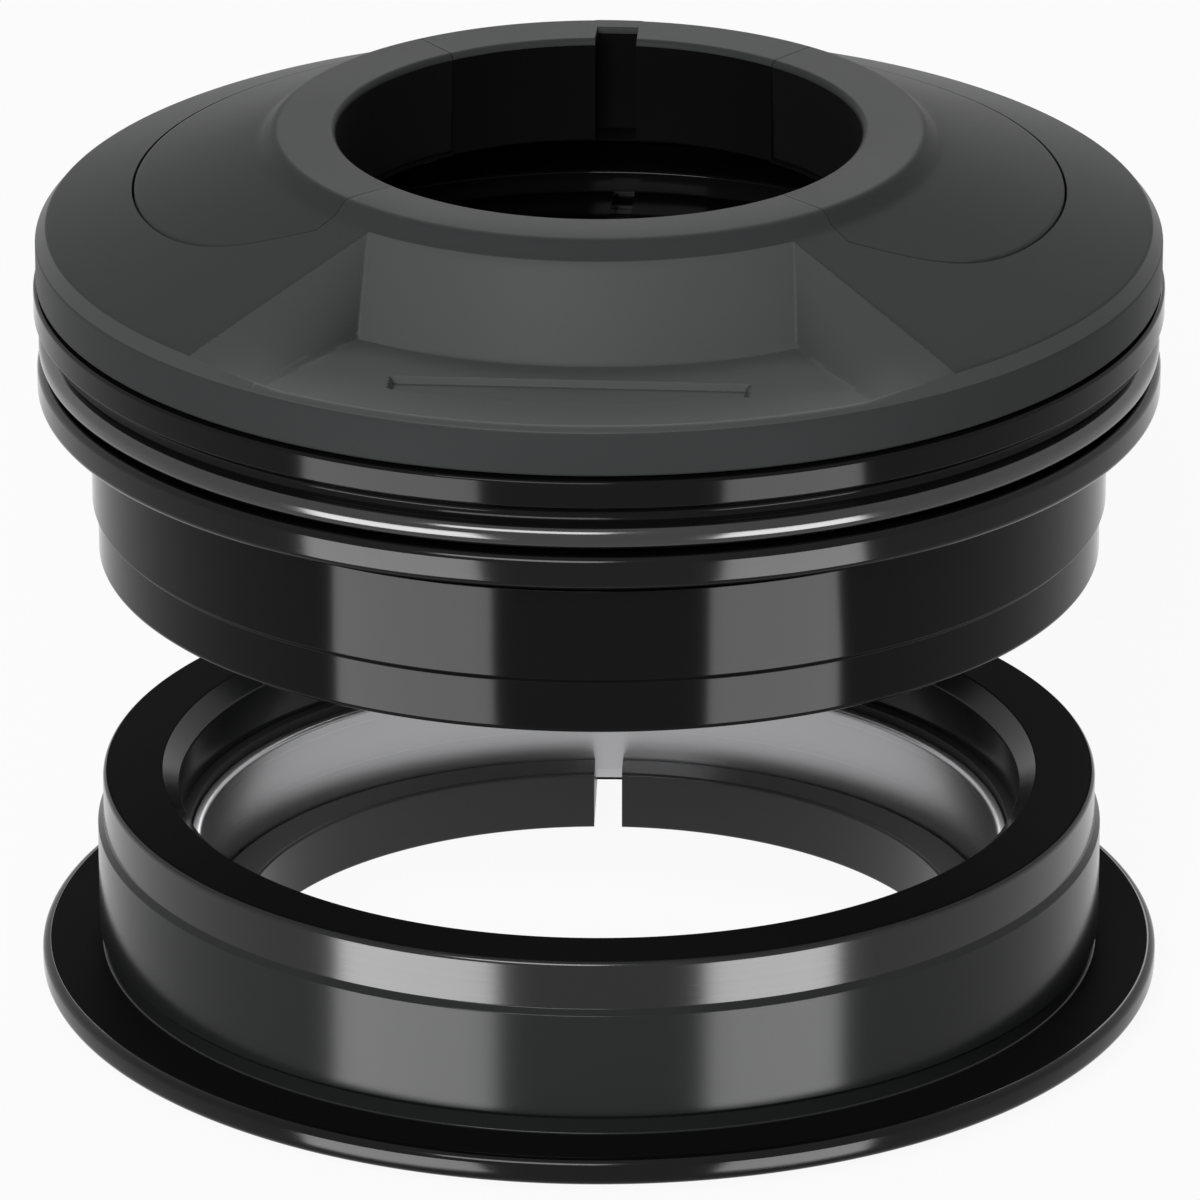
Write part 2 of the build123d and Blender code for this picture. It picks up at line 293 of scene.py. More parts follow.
class SharedEffects:
    """Node groups that several finishes share."""

    def __init__(self) -> None:
        """Builds each group once."""
        self.turning_marks = self._turning_marks()
        self.moulded_grain = self._moulded_grain()

    @staticmethod
    def _group(
        name: str, inputs: dict[str, float], outputs: list[str]
    ) -> tuple[bpy.types.NodeTree, bpy.types.Node, bpy.types.Node]:
        """Starts a node group.

        Args:
            name: Name of the group.
            inputs: Number inputs and their defaults.
            outputs: Number outputs.

        Returns:
            The group, its input node and its output node.
        """
        group = bpy.data.node_groups.new(name, "ShaderNodeTree")
        for label, value in inputs.items():
            socket = group.interface.new_socket(
                name=label, in_out="INPUT", socket_type="NodeSocketFloat"
            )
            socket.default_value = value
        for label in outputs:
            group.interface.new_socket(name=label, in_out="OUTPUT", socket_type="NodeSocketFloat")
        return group, group.nodes.new("NodeGroupInput"), group.nodes.new("NodeGroupOutput")

    @staticmethod
    def _maths(
        group: bpy.types.NodeTree, operation: str, first: Operand, second: Operand
    ) -> bpy.types.NodeSocket:
        """Adds a sum to a group.

        Args:
            group: Group to add to.
            operation: Name of the operation.
            first: Socket or number.
            second: Socket or number.

        Returns:
            The result's socket.
        """
        node = group.nodes.new("ShaderNodeMath")
        node.operation = operation
        for socket, value in zip(node.inputs, (first, second)):
            if isinstance(value, (int, float)):
                socket.default_value = value
            else:
                group.links.new(value, socket)
        return node.outputs[0]

    def _turning_marks(self) -> bpy.types.NodeTree:
        """Makes the fine helical lines that a turning tool leaves.

        Returns:
            The group, which gives a height for relief and a mark for roughness.
        """
        inputs = {"Density": 9000.0, "Lead": 0.6}
        group, inner, outer = self._group("turning_marks", inputs, ["Height", "Mark"])
        place = group.nodes.new("ShaderNodeTexCoord")
        split = group.nodes.new("ShaderNodeSeparateXYZ")
        group.links.new(place.outputs["Object"], split.inputs[0])
        x, y, z = split.outputs
        squared = self._maths(
            group, "ADD", self._maths(group, "MULTIPLY", x, x), self._maths(group, "MULTIPLY", y, y)
        )
        along = self._maths(group, "ADD", self._maths(group, "SQRT", squared, 0.0), z)
        around = self._maths(group, "ARCTAN2", y, x)
        line = self._maths(
            group,
            "ADD",
            self._maths(group, "MULTIPLY", along, inner.outputs["Density"]),
            self._maths(group, "MULTIPLY", around, inner.outputs["Lead"]),
        )
        noise = group.nodes.new("ShaderNodeTexNoise")
        noise.noise_dimensions = "1D"
        noise.inputs["Scale"].default_value = 1.0
        noise.inputs["Detail"].default_value = 4.0
        group.links.new(line, noise.inputs["W"])
        group.links.new(noise.outputs["Fac"], outer.inputs["Height"])
        group.links.new(noise.outputs["Fac"], outer.inputs["Mark"])
        return group

    def _moulded_grain(self) -> bpy.types.NodeTree:
        """Makes the fine grain of a spark-eroded mould, with slow patches of roughness.

        Returns:
            The group, which gives a height for relief and a mark for roughness.
        """
        inputs = {"Density": 9000.0, "Patches": 90.0}
        group, inner, outer = self._group("moulded_grain", inputs, ["Height", "Mark"])
        place = group.nodes.new("ShaderNodeTexCoord")
        for scale, label, detail in (("Density", "Height", 2.0), ("Patches", "Mark", 3.0)):
            noise = group.nodes.new("ShaderNodeTexNoise")
            noise.inputs["Detail"].default_value = detail
            group.links.new(place.outputs["Object"], noise.inputs["Vector"])
            group.links.new(inner.outputs[scale], noise.inputs["Scale"])
            group.links.new(noise.outputs["Fac"], outer.inputs[label])
        return group


@dataclass(frozen=True)
class Finish:
    """A surface finish, and the material slot of the record that it belongs to."""

    name: str
    slot: str
    colour: Colour
    roughness: float
    metallic: float = 0.0
    specular: float = 0.5
    anisotropy: float = 0.0
    texture: Texture = Texture.PLAIN
    texture_density: float = 9000.0
    relief: float = 0.0
    relief_depth: float = 0.00002
    roughness_spread: float = 0.0

    def material(self, effects: SharedEffects) -> bpy.types.Material:
        """Makes the material.

        Args:
            effects: Shared node groups.

        Returns:
            The material, or the one made before for the same finish.
        """
        name = f"finish_{self.name}"
        made = bpy.data.materials.get(name)
        if made:
            return made
        material = bpy.data.materials.new(name)
        material.use_nodes = True
        nodes, links = material.node_tree.nodes, material.node_tree.links
        shader = nodes["Principled BSDF"]
        shader.inputs["Base Color"].default_value = (*self.colour, 1.0)
        shader.inputs["Roughness"].default_value = self.roughness
        shader.inputs["Metallic"].default_value = self.metallic
        shader.inputs["Specular IOR Level"].default_value = self.specular
        if self.anisotropy:
            shader.inputs["Anisotropic"].default_value = self.anisotropy
            shader.inputs["Anisotropic Rotation"].default_value = 0.25
            tangent = nodes.new("ShaderNodeTangent")
            tangent.direction_type = "RADIAL"
            tangent.axis = "Z"
            links.new(tangent.outputs[0], shader.inputs["Tangent"])
        if self.texture is Texture.PLAIN:
            return material
        effect = nodes.new("ShaderNodeGroup")
        effect.node_tree = (
            effects.turning_marks if self.texture is Texture.TURNED else effects.moulded_grain
        )
        effect.inputs["Density"].default_value = self.texture_density
        if self.relief:
            bump = nodes.new("ShaderNodeBump")
            bump.inputs["Strength"].default_value = self.relief
            bump.inputs["Distance"].default_value = self.relief_depth
            links.new(effect.outputs["Height"], bump.inputs["Height"])
            links.new(bump.outputs["Normal"], shader.inputs["Normal"])
        if self.roughness_spread:
            spread = nodes.new("ShaderNodeMapRange")
            spread.inputs["To Min"].default_value = self.roughness - self.roughness_spread
            spread.inputs["To Max"].default_value = self.roughness + self.roughness_spread
            links.new(effect.outputs["Mark"], spread.inputs["Value"])
            links.new(spread.outputs["Result"], shader.inputs["Roughness"])
        return material


BLACK_ANODISED = Finish(
    "black_anodised", "black_anodised", (0.002, 0.002, 0.0022), 0.1, specular=0.09,
    texture=Texture.TURNED, roughness_spread=0.03,
)
SATIN_ANODISED = Finish(
    "satin_anodised", "black_anodised", (0.016, 0.0167, 0.0171), 0.17, specular=0.14,
    texture=Texture.TURNED, relief=0.05, relief_depth=0.00001, roughness_spread=0.04,
)
BRIGHT_EDGE = Finish(
    "bright_edge", "black_anodised", (0.002, 0.002, 0.0022), 0.12, specular=0.16,
    texture=Texture.TURNED, roughness_spread=0.03,
)
TURNED_LAND = Finish(
    "turned_land", "black_anodised", (0.003, 0.003, 0.0032), 0.16, specular=0.36,
    texture=Texture.TURNED, relief=0.12, relief_depth=0.00001, roughness_spread=0.06,
)
MATT_BLACK = Finish(
    "matt_black", "black_anodised", (0.007, 0.007, 0.0075), 0.5, specular=0.003,
    texture=Texture.TURNED, roughness_spread=0.05,
)
COVER_PLASTIC = Finish(
    "cover_plastic", "cover_plastic", (0.041, 0.0425, 0.043), 0.4, specular=0.03,
    texture=Texture.MOULDED, relief=0.25, roughness_spread=0.04,
)
# Lighter copy of the cover plastic: painted light on the recess's ledge, back wall and badge slot.
COVER_RECESS_PAINTED_LIGHT = Finish(
    "cover_recess", "cover_plastic", (0.079, 0.082, 0.082), 0.45, specular=0.05,
    texture=Texture.MOULDED, relief=0.35, roughness_spread=0.04,
)
# Lighter copy of the cover plastic: painted light on the recess's flanks.
COVER_FLANK_PAINTED_LIGHT = Finish(
    "cover_flank", "cover_plastic", (0.066, 0.068, 0.068), 0.45, specular=0.04,
    texture=Texture.MOULDED, relief=0.35, roughness_spread=0.04,
)
# Lighter copy of the cover plastic: a painted highlight along the shoulder's rounded edge.
COVER_EDGE_PAINTED_HIGHLIGHT = Finish(
    "cover_edge", "cover_plastic", (0.067, 0.069, 0.069), 0.35, specular=0.08,
    texture=Texture.MOULDED, relief=0.2, roughness_spread=0.04,
)
INSERT_PLASTIC = Finish(
    "insert_plastic", "insert_plastic", (0.036, 0.0372, 0.0372), 0.4, specular=0.03,
    texture=Texture.MOULDED, relief=0.25, roughness_spread=0.04,
)
# Near-black copy of the cover plastic: painted shade in the bore.
COVER_BORE_PAINTED_SHADE = Finish(
    "cover_bore", "cover_plastic", (0.003, 0.003, 0.0032), 0.6, specular=0.03,
    texture=Texture.MOULDED, relief=0.25, roughness_spread=0.05,
)
# Near-black copy of the insert plastic: painted shade on the inserts' bore wall.
INSERT_BORE_PAINTED_SHADE = Finish(
    "insert_bore", "insert_plastic", (0.0045, 0.0045, 0.0048), 0.6, specular=0.05,
    texture=Texture.MOULDED, relief=0.25, roughness_spread=0.05,
)
GLOSS_BLACK = Finish(
    "gloss_black", "gloss_black", (0.0045, 0.0045, 0.0048), 0.1, specular=0.08,
    texture=Texture.MOULDED, roughness_spread=0.03,
)
GLOSS_BEAD = Finish(
    "gloss_bead", "gloss_black", (0.0045, 0.0045, 0.0048), 0.14, specular=0.6,
    texture=Texture.MOULDED, roughness_spread=0.03,
)
SATIN_BLACK = Finish(
    "satin_black", "gloss_black", (0.032, 0.032, 0.0325), 0.3, specular=0.25,
    texture=Texture.MOULDED, relief=0.15, roughness_spread=0.05,
)
BEARING_STEEL = Finish(
    "bearing_steel", "bearing_steel", (0.4, 0.4, 0.41), 0.3, metallic=1.0, anisotropy=0.6,
    texture=Texture.TURNED, relief=0.2, relief_depth=0.00001, roughness_spread=0.05,
)
CAGE_PLASTIC = Finish(
    "cage_plastic", "cage_plastic", (0.5, 0.46, 0.38), 0.5,
    texture=Texture.MOULDED, relief=0.2, roughness_spread=0.05,
)
SEAL_RUBBER = Finish(
    "seal_rubber", "seal_rubber", (0.018, 0.018, 0.018), 0.6, specular=0.25,
    texture=Texture.MOULDED, relief=0.3, roughness_spread=0.05,
)


@dataclass(frozen=True)
class Zone:
    """A stretch of a section that has a finish of its own."""

    finish: Finish
    inner: float
    outer: float
    bottom: float
    top: float

    def holds(self, x: np.ndarray, y: np.ndarray, z: np.ndarray) -> np.ndarray:
        """Tells which places lie in the zone.

        Args:
            x: Places across, in millimetres.
            y: Places along.
            z: Heights.

        Returns:
            A mask of the places.
        """
        radius = np.hypot(x, y)
        within = (radius >= self.inner) & (radius <= self.outer)
        return within & (z >= self.bottom) & (z <= self.top)


def dress(
    piece: bpy.types.Object,
    finish: Finish,
    effects: SharedEffects,
    node: str = "",
    zones: tuple["Zone | RecessZone", ...] = (),
) -> None:
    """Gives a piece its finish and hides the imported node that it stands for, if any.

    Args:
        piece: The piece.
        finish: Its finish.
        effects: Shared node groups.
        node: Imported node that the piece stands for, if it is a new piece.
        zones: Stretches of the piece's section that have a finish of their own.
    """
    mesh = piece.data
    mesh.materials.clear()
    mesh.materials.append(finish.material(effects))
    if zones:
        centres = np.empty(3 * len(mesh.polygons))
        mesh.polygons.foreach_get("center", centres)
        x, y, z = centres.reshape(-1, 3).T / MM
        choice = np.zeros(len(mesh.polygons), dtype=np.int32)
        for number, zone in enumerate(zones, start=1):
            mesh.materials.append(zone.finish.material(effects))
            choice[zone.holds(x, y, z)] = number
        mesh.polygons.foreach_set("material_index", choice)
    if node:
        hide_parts(node)
    log.info("%s: %d faces, %s", piece.name, len(piece.data.polygons), finish.slot)


@dataclass
class TurnedPiece:
    """A ring turned from one outline, with an optional straight slit through it."""

    node: str
    body: Body
    finish: Finish
    corners: list[Corner]
    slit_width: float = 0.0
    slit_heading: float = BACK
    zones: tuple[Zone, ...] = ()
    columns: int = RING_COLUMNS

    def build(self) -> bpy.types.Object:
        """Turns the outline about the steering axis.

        Returns:
            The piece.
        """
        outline = rounded(self.corners)
        if outline_turns_left(outline):
            outline = outline[::-1]
        slit = self.slit_width > 0
        radius, height = outline.T
        share = np.linspace(0, 1, self.columns, endpoint=slit)[:, None]
        half_slit = np.arcsin(self.slit_width / 2 / radius)[None, :]
        start = math.radians(self.slit_heading)
        heading = start + half_slit + share * (2 * math.pi - 2 * half_slit)
        points = about_axis(radius, heading, height)
        faces = grid_faces(self.columns, len(outline), wrap_columns=not slit)
        return mesh_piece(f"{self.node}_turned", points, faces, self.body)

    def dress(self, effects: SharedEffects) -> None:
        """Builds the ring and puts it in its node's place."""
        dress(self.build(), self.finish, effects, self.node, self.zones)


@dataclass
class Cup:
    """A press-in cup. Depths run from the head tube's end face into the tube."""

    end: End
    finish: Finish
    pilot_finish: Finish
    wall: float = 1.98
    slip_gap: float = 0.02
    bearing_depth: float = 6.4
    seat_cone: float = 1.02
    seat_round: float = 0.25
    lip: float = 2.6
    lip_chamfer: float = 1.0
    lip_round: float = 0.3
    pilot_relief: float = 0.32
    pilot_bevel: float = 0.3
    flange_round: float = 0.45
    end_round: float = 0.35
    root_groove: float = 0.25
    root_groove_height: float = 0.9
    node: str = field(init=False)
    face: float = field(init=False)
    press_radius: float = field(init=False)
    press_length: float = field(init=False)

    def __post_init__(self) -> None:
        """Reads the places that follow from the part's mounts."""
        self.node = f"{self.end.value}_cup"
        self.face = Mount.of(f"{self.end.value}_flange_face").height
        press = Mount.of(f"{self.end.value}_press_fit")
        self.press_radius, self.press_length = press.radius, press.length

    def corners(self) -> list[Corner]:
        """Lists the outline's corners from the flange round to the inside.

        Returns:
            The corners, from a table of radius, depth and rounding.
        """
        extent, inward = Extent.of(self.node), self.end.inward
        above, below = extent.top - self.face, self.face - extent.bottom
        flange, depth = (above, below) if self.end is End.UPPER else (below, above)
        seat = self.press_radius - self.wall
        lip_radius = seat - self.slip_gap - self.lip
        pilot = self.press_radius - self.pilot_relief
        groove = self.press_radius - self.root_groove
        walls = [
            (seat, -flange, self.seat_round),
            (extent.radius, -flange, self.flange_round),
            (extent.radius, 0.0, self.flange_round),
            (groove, 0.0, FINE_ROUNDING),
            (groove, self.root_groove_height, SMALL_ROUNDING),
            (self.press_radius, self.root_groove_height + self.root_groove, FINE_ROUNDING),
            (self.press_radius, self.press_length, FINE_ROUNDING),
            (pilot, self.press_length + self.pilot_bevel, FINE_ROUNDING),
            (pilot, depth, self.end_round),
            (lip_radius + self.lip_chamfer, depth, SMALL_ROUNDING),
            (lip_radius, depth - self.lip_chamfer, self.lip_round),
            (lip_radius, self.bearing_depth, FINE_ROUNDING),
            (seat - self.seat_cone, self.bearing_depth, EDGE_ROUNDING),
            (seat, self.bearing_depth - self.seat_cone, EDGE_ROUNDING),
        ]
        return [Corner(r, self.face + inward * t, rounding) for r, t, rounding in walls]

    @staticmethod
    def flat_face(inner: float, outer: float, height: float) -> Zone:
        """Gives a flat face its matt finish."""
        return Zone(MATT_BLACK, inner, outer, height - EDGE_ROUNDING, height + EDGE_ROUNDING)

    def dress(self, effects: SharedEffects) -> None:
        """Builds the cup, bright at the flange's edge and matt on its flat faces.

        Args:
            effects: Shared node groups.
        """
        extent = Extent.of(self.node)
        edge = extent.radius - self.flange_round
        end = extent.bottom if self.end is End.UPPER else extent.top
        pilot = self.press_radius - self.pilot_relief - EDGE_ROUNDING
        pilot_start = self.face + self.end.inward * (self.press_length + self.pilot_bevel)
        low, high = sorted((pilot_start, end))
        zones = (
            Zone(BRIGHT_EDGE, edge, extent.radius, extent.bottom, extent.top),
            Zone(self.pilot_finish, pilot, self.press_radius, low, high),
            self.flat_face(self.press_radius, edge, self.face),
            self.flat_face(0.0, self.press_radius, end),
        )
        TurnedPiece(
            self.node, Body.HEAD_TUBE_SIDE, self.finish, self.corners(), zones=zones
        ).dress(effects)


@dataclass
class CoverBaseRing:
    """The glossy ring under the cover: bead, cove and band outside, a web inside."""

    node: str = "cover_base_ring"
    bead_inset: float = 0.25
    bead_height: float = 1.4
    bead_run_out: float = 0.2
    bead_round: float = 0.6
    cove_height: float = 1.2
    cove_depth: float = 0.75
    cove_foot: float = 0.15
    cove_head: float = 0.45
    band_round: float = 0.12
    wall: float = 2.4
    wall_round: float = 0.3
    web_radius: float = 21.8
    web_rise: float = 0.9
    web_thickness: float = 1.4
    under_radius: float = 24.9

    def corners(self) -> list[Corner]:
        """Lists the outline's corners, from the web's lower edge outwards.

        Returns:
            The corners.
        """
        extent = Extent.of(self.node)
        bead = extent.radius - self.bead_inset
        cove = bead - self.cove_depth
        bead_top = extent.bottom + self.bead_height
        band_bottom = bead_top + self.cove_height
        web_bottom = extent.bottom + self.web_rise
        return [
            Corner(self.web_radius, web_bottom, SOFT_ROUNDING),
            Corner(self.under_radius, web_bottom, FINE_ROUNDING),
            Corner(self.under_radius, extent.bottom, SOFT_ROUNDING),
            Corner(bead, extent.bottom, self.bead_round),
            Corner(bead, bead_top - self.bead_run_out, self.bead_round),
            Corner(cove, bead_top + self.cove_foot, self.bead_round),
            Corner(cove, band_bottom - self.cove_head, self.bead_round),
            Corner(extent.radius, band_bottom, self.band_round),
            Corner(extent.radius, extent.top, SOFT_ROUNDING),
            Corner(extent.radius - self.wall, extent.top, SOFT_ROUNDING),
            Corner(extent.radius - self.wall, web_bottom + self.web_thickness, self.wall_round),
            Corner(self.web_radius, web_bottom + self.web_thickness, SOFT_ROUNDING),
        ]

    def dress(self, effects: SharedEffects) -> None:
        """Builds the ring, brighter on its bead, and puts it in its node's place.

        Args:
            effects: Shared node groups.
        """
        extent = Extent.of(self.node)
        bead_top = extent.bottom + self.bead_height
        bead = Zone(GLOSS_BEAD, self.under_radius, extent.radius, extent.bottom, bead_top)
        TurnedPiece(
            self.node, Body.STEERING_TOP, GLOSS_BLACK, self.corners(), zones=(bead,)
        ).dress(effects)


@dataclass
class CrownRace:
    """The split ring on the fork crown."""

    node: str = "crown_race"
    lip: float = 2.2
    cone_run: float = 1.25
    cone_height: float = 1.25
    lip_height: float = 0.6
    boss_inset: float = 3.08
    base_thickness: float = 0.6
    slit_width: float = 1.6
    slit_turn: float = 2.2

    def corners(self) -> list[Corner]:
        """Lists the outline's corners, from the bore's lower edge outwards.

        Returns:
            The corners.
        """
        extent = Extent.of(self.node)
        bore = Mount.of("crown_race_bore").radius
        lip_radius = bore + self.lip
        cone_top = extent.top - self.lip_height
        boss_radius = extent.radius - self.boss_inset
        boss_top = extent.top - self.lip_height - self.cone_height
        base_top = extent.bottom + self.base_thickness
        return [
            Corner(bore, extent.bottom, SOFT_ROUNDING),
            Corner(extent.radius, extent.bottom, SMALL_ROUNDING),
            Corner(extent.radius, base_top, SMALL_ROUNDING),
            Corner(boss_radius, base_top, FINE_ROUNDING),
            Corner(boss_radius, boss_top, FINE_ROUNDING),
            Corner(lip_radius + self.cone_run, boss_top, FINE_ROUNDING),
            Corner(lip_radius, cone_top, FINE_ROUNDING),
            Corner(lip_radius, extent.top, SOFT_ROUNDING),
            Corner(bore, extent.top, SOFT_ROUNDING),
        ]

    def dress(self, effects: SharedEffects) -> None:
        """Builds the race, slit at the back, and puts it in its node's place.

        Args:
            effects: Shared node groups.
        """
        slit_heading = BACK + self.slit_turn
        TurnedPiece(
            self.node, Body.CROWN_SIDE, SATIN_BLACK, self.corners(), self.slit_width, slit_heading
        ).dress(effects)


def smooth_least(first: np.ndarray, second: np.ndarray, width: float) -> np.ndarray:
    """Takes the lesser of two heights, blended where they are within a width of each other."""
    share = np.clip(0.5 + 0.5 * (second - first) / width, 0, 1)
    return second * (1 - share) + first * share - width * share * (1 - share)


def smooth_most(first: np.ndarray, second: np.ndarray, width: float) -> np.ndarray:
    """Takes the greater of two heights, blended where they are within a width of each other."""
    return -smooth_least(-first, -second, width)


@dataclass
class TopCover:
    """The moulded cover with its front recess, badge slot, keyway and two side inserts."""

    node: str = "top_cover"
    bore_gap: float = 0.1
    bore_round: float = 0.35
    rim_width: float = 3.4
    rim_round: float = 0.7
    bevel: float = 0.8
    bevel_round: float = 1.2
    side_height: float = 2.4
    shoulder: float = 0.6
    shoulder_rise: float = 0.75
    shoulder_rounds: tuple[float, float] = (0.6, 0.45)
    side_round: float = 0.18
    edge_inset: float = 0.03
    spigot_height: float = 2.0
    spigot_inset: float = 2.3
    spigot_wall: float = 2.1
    wall: float = 2.2
    sleeve_wall: float = 2.6
    sleeve_depth: float = 6.0
    key_width: float = 2.3
    key_reach: float = 16.4
    recess_step: float = 0.3
    recess_back_gap: float = 3.1
    recess_head_gap: float = 0.2
    recess_half_angle: float = 32.75
    recess_end_half_angle: float = 31.8
    recess_head_half_angle: float = 37.2
    recess_foot_half_angle: float = 42.1
    recess_reach: tuple[float, float] = (-0.2, 1.02)
    recess_wall: float = 1.8
    recess_fillet: float = 0.16
    recess_edge: float = 0.14
    badge_half_length: float = 9.5
    badge_inset: float = 2.0
    badge_width: float = 1.9
    badge_bow: float = 1.4
    badge_depth: float = 0.4
    badge_edge: float = 0.12
    insert_heading: float = 94.0
    insert_margin: float = 5.3
    insert_half_width: float = 16.0
    insert_skin: float = 1.1
    insert_corner: float = 1.6
    insert_corner_spread: float = 9.5
    insert_edge_drop: float = 0.06
    insert_lift: float = 0.25
    insert_clearance: float = 0.05
    seam: float = 0.12
    seam_end: float = 0.04
    pocket_share: float = 0.02

    # How close together the columns and rows of the grid are
    front_heading: float = 45.0
    flank_heading: float = 33.0
    front_step: float = 0.36
    flank_step: float = 0.12
    plain_step: float = 1.5
    seam_step: float = 0.02
    mark_clearance: float = 0.15
    key_clearance: float = 0.2
    rim_run: float = 0.45
    shoulder_run: float = 0.8
    edge_step: float = 0.01
    least_step: float = 0.05
    pocket_rows: int = 10
    slope_rows: tuple[int, ...] = (46, 3, 10, 3, 14)
    ceiling_rows: int = 24
    insert_columns: int = 140
    insert_rows: tuple[float, ...] = (0.1, 0.2, 0.3, 0.4, 0.5, 0.6, 0.7, 0.8, 0.9, 0.96, 0.99)
    insert_under_rows: int = 8

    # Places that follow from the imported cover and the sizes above
    radius: float = field(init=False)
    top: float = field(init=False)
    bottom: float = field(init=False)
    bore: float = field(init=False)
    rim: float = field(init=False)
    head: tuple[float, float] = field(init=False)
    shoulder_z: float = field(init=False)
    foot: tuple[float, float] = field(init=False)
    floor: float = field(init=False)
    recess_back: float = field(init=False)
    badge_back: float = field(init=False)
    badge_front: float = field(init=False)
    insert_reach: float = field(init=False)
    sleeve: float = field(init=False)
    sleeve_bottom: float = field(init=False)
    half_sector: float = field(init=False)
    sector_reach: float = field(init=False)

    def __post_init__(self) -> None:
        """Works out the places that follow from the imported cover."""
        extent = Extent.of(self.node)
        self.radius, self.top = extent.radius, extent.top
        self.bottom = extent.bottom + self.spigot_height
        self.bore = Mount.of("steerer_bore").radius + self.bore_gap
        self.rim = self.bore + self.rim_width
        self.head = (self.rim + self.bevel, self.top - self.bevel)
        self.shoulder_z = self.bottom + self.side_height
        self.foot = (self.radius - self.shoulder, self.shoulder_z + self.shoulder_rise)
        self.floor = self.shoulder_z + self.recess_step
        self.recess_back = self.head[0] + self.recess_back_gap
        self.badge_back = -self.recess_back - self.badge_inset
        self.badge_front = self.badge_back - self.badge_width
        self.insert_reach = self.radius - self.insert_margin
        self.sleeve = self.bore + self.sleeve_wall
        self.sleeve_bottom = self.top - self.sleeve_depth
        self.half_sector = math.degrees(math.atan2(self.insert_half_width, self.bore))
        self.sector_reach = math.hypot(self.insert_half_width, self.bore)

    def slope(self, radius: np.ndarray) -> np.ndarray:
        """Gives the height of the cover's sloping face at a radius."""
        fall = (self.head[1] - self.foot[1]) / (self.foot[0] - self.head[0])
        return self.head[1] - (radius - self.head[0]) * fall

    @staticmethod
    def place(radius: float, heading: float) -> np.ndarray:
        """Gives the plan position of a radius and heading."""
        turn = math.radians(heading)
        return radius * np.array([math.sin(turn), -math.cos(turn)])

    def recess_flank(self, x: np.ndarray, y: np.ndarray) -> np.ndarray:
        """Gives the height of the recess's two flanks.

        Each flank spans two straight lines, one along the ledge's end and one down the slope, so
        it is steep at the back wall and shallow at the cover's side. The share of the way across
        it is the root of the quadratic that puts a place on the flank.

        Args:
            x: Places across.
            y: Places along.

        Returns:
            Heights in millimetres.
        """
        head_radius = self.head[0] + self.recess_head_gap
        low = self.place(self.recess_back, self.recess_half_angle)
        low_run = self.place(self.radius, self.recess_end_half_angle) - low
        high = self.place(head_radius, self.recess_head_half_angle)
        high_run = self.place(self.foot[0], self.recess_foot_half_angle) - high
        lean, twist = high - low, high_run - low_run
        across, along = np.abs(x) - low[0], y - low[1]
        square = lean[1] * twist[0] - lean[0] * twist[1]
        steady = lean[1] * low_run[0] - lean[0] * low_run[1]
        linear = across * twist[1] - along * twist[0] + steady
        inside = across * low_run[1] - along * low_run[0]
        root = np.sqrt(np.maximum(linear**2 - 4 * square * inside, 0))
        outer_share = (root - linear) / (2 * square)
        share = np.where(inside < 0, outer_share, -inside / np.maximum(linear, steady))
        run_x, run_y = low_run[0] + share * twist[0], low_run[1] + share * twist[1]
        reach = (across - share * lean[0]) * run_x + (along - share * lean[1]) * run_y
        reach = np.clip(reach / np.maximum(run_x**2 + run_y**2, TINY), *self.recess_reach)
        head_climb, foot_climb = self.slope(head_radius) - self.floor, self.foot[1] - self.floor
        return self.floor + share * (head_climb + reach * (foot_climb - head_climb))

    def recess_back_wall(self, x: np.ndarray, y: np.ndarray) -> np.ndarray:
        """Gives the height of the recess's leaning back wall."""
        lean = self.recess_back - self.head[0] - self.recess_head_gap
        return self.floor + (self.head[1] - self.floor) * (self.recess_back - np.hypot(x, y)) / lean

    def recess(self, x: np.ndarray, y: np.ndarray) -> np.ndarray:
        """Gives the height of the recess: a ledge, a leaning back wall and two twisted flanks.

        Args:
            x: Places across.
            y: Places along.

        Returns:
            Heights in millimetres.
        """
        back, flank = self.recess_back_wall(x, y), self.recess_flank(x, y)
        walls = smooth_most(back, flank, self.recess_fillet)
        return smooth_most(walls, np.full_like(x, self.floor), self.recess_fillet)

    def badge(self, x: np.ndarray, y: np.ndarray) -> np.ndarray:
        """Gives how deep the badge slot lies below the ledge.

        Args:
            x: Places across.
            y: Places along.

        Returns:
            Depths in millimetres, 0 outside the slot.
        """
        bow = self.badge_bow * (1 - (x / self.badge_half_length) ** 2)
        inside = np.minimum(self.badge_half_length - np.abs(x), self.badge_back - y)
        inside = np.minimum(inside, y - (self.badge_front - bow))
        share = np.clip(inside / self.badge_edge, 0, 1)
        return self.badge_depth * share * share * (3 - 2 * share)

    def insert_edge(self, heading: np.ndarray) -> np.ndarray:
        """Gives the radius of the inserts' rounded end.

        Args:
            heading: Headings.

        Returns:
            A radius for every heading, eased at the end's two corners.
        """
        off = np.radians(np.abs(np.abs(heading) - self.insert_heading))
        across, along = np.sin(off), np.cos(off)
        semi = self.insert_reach - self.bore
        a = (along / semi) ** 2 + (across / self.insert_half_width) ** 2
        b = -2 * self.bore * along / semi**2
        c = (self.bore / semi) ** 2 - 1
        edge = (-b + np.sqrt(np.maximum(b * b - 4 * a * c, 0))) / (2 * a)
        half_sector = math.radians(self.half_sector)
        from_corner = (half_sector - off) / math.radians(self.insert_corner_spread)
        eased = edge - self.insert_corner * np.exp(-(from_corner**2))
        beyond = self.sector_reach - self.insert_corner
        return np.where(off <= half_sector, eased, beyond)

    def in_insert(self, heading: np.ndarray) -> np.ndarray:
        """Tells which headings lie in an insert's sector."""
        return np.abs(np.abs(heading) - self.insert_heading) < self.half_sector

